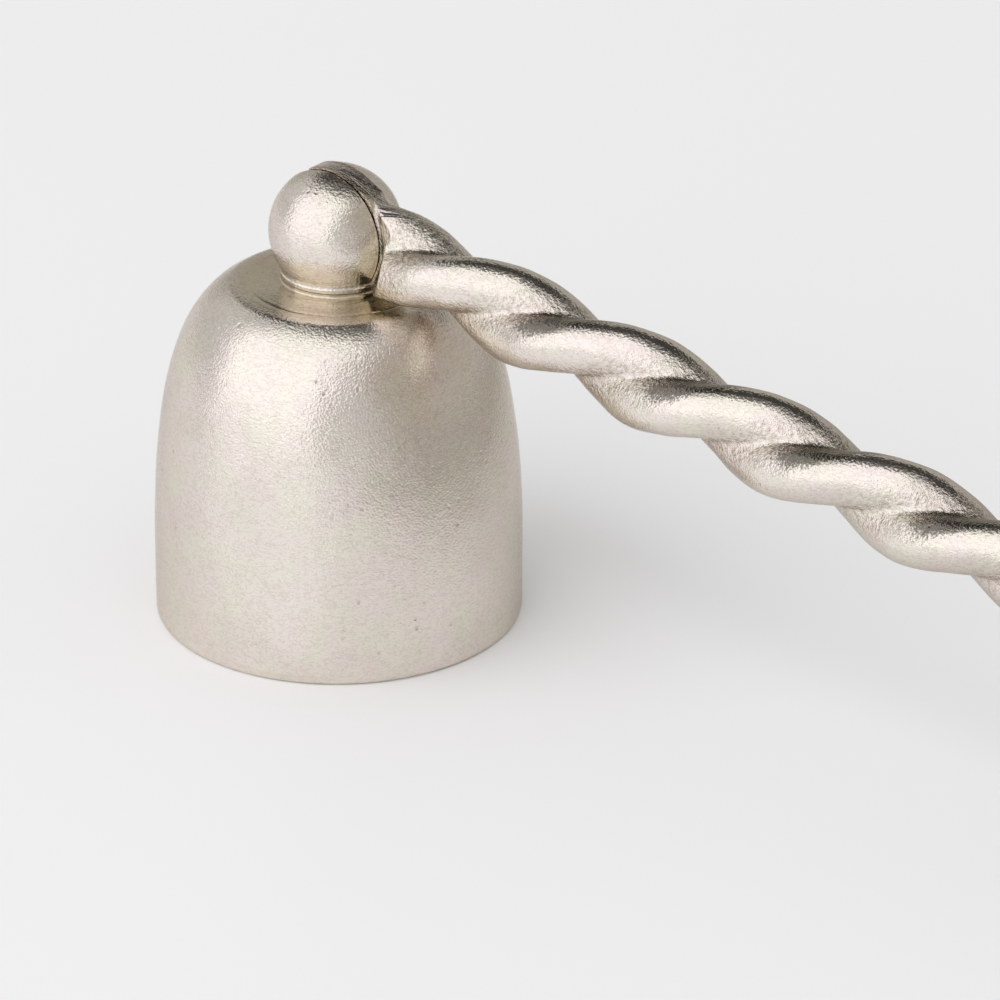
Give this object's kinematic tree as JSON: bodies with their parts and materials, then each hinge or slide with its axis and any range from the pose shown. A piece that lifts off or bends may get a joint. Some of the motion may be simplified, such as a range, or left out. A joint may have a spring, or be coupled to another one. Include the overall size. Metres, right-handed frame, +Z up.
{
  "type": "candle snuffer",
  "caption": "Hand-held candle snuffer: a cast bell puts out the flame, and a left-hand twisted bar handle swings on a pin in a slotted ball on the bell's crown.",
  "frame": {"origin": "centre of the bell's mouth, on the table that the rim stands on", "axes": "+Z up along the bell's axis, +X level, along the handle, +Y to the left of the handle"},
  "size_m": [0.2562, 0.038, 0.0488],
  "materials": {
    "bell_casting": "sand-cast, satin, warm silver",
    "knuckle_casting": "cast, brushed, warm silver",
    "handle_casting": "cast, polished, warm silver",
    "pin_steel": "filed flush",
    "screw_steel": "plain"
  },
  "bodies": {
    "bell_body": {"bell": "bell_casting", "knuckle": "knuckle_casting", "hinge_pin": "pin_steel", "crown_screw": "screw_steel", "lock_washer": "screw_steel"},
    "handle_body": {"handle": "handle_casting"}
  },
  "joints": [
    {"name": "handle_hinge", "type": "hinge", "parent": "bell_body", "child": "handle_body", "pos_m": [0, 0, 0.04196], "axis": [0, -1, 0], "range_deg": [-2, 95]}
  ]
}
